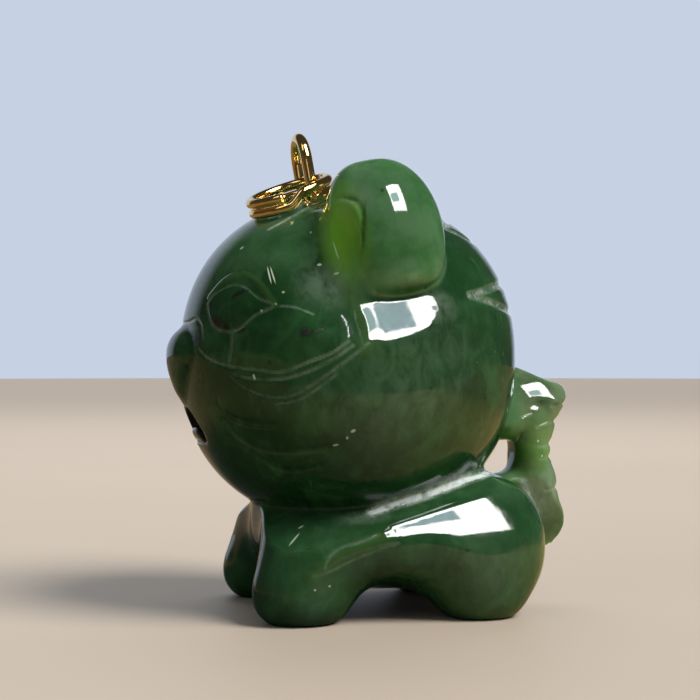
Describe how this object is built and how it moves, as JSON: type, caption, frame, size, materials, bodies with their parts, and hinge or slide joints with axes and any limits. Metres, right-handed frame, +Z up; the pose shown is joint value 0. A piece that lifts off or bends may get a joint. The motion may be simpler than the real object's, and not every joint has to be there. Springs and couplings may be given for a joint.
{
  "type": "jade pendant",
  "caption": "Carved jade tiger pendant that stands on its own legs, with a gold eye set in the head and a gold split ring to hang it by.",
  "frame": {"origin": "on the ground, under the middle of the carving", "axes": "the tiger looks along -X, its right and left flanks face +Y and -Y, +Z is up"},
  "size_m": [0.0204, 0.0164, 0.0235],
  "materials": {
    "jade": "polished, translucent dark green",
    "gold_eye": "polished yellow gold",
    "gold_ring": "polished yellow gold"
  },
  "bodies": {
    "tiger": {"jade_carving": "jade", "screw_eye": "gold_eye"},
    "ring": {"split_ring": "gold_ring"}
  },
  "joints": [
    {"name": "ring_swing", "type": "hinge", "parent": "tiger", "child": "ring", "pos_m": [-0.00324, 0.00003, 0.02092], "axis": [-0.8237, 0.5241, -0.2165], "range_deg": [0, 170]}
  ]
}
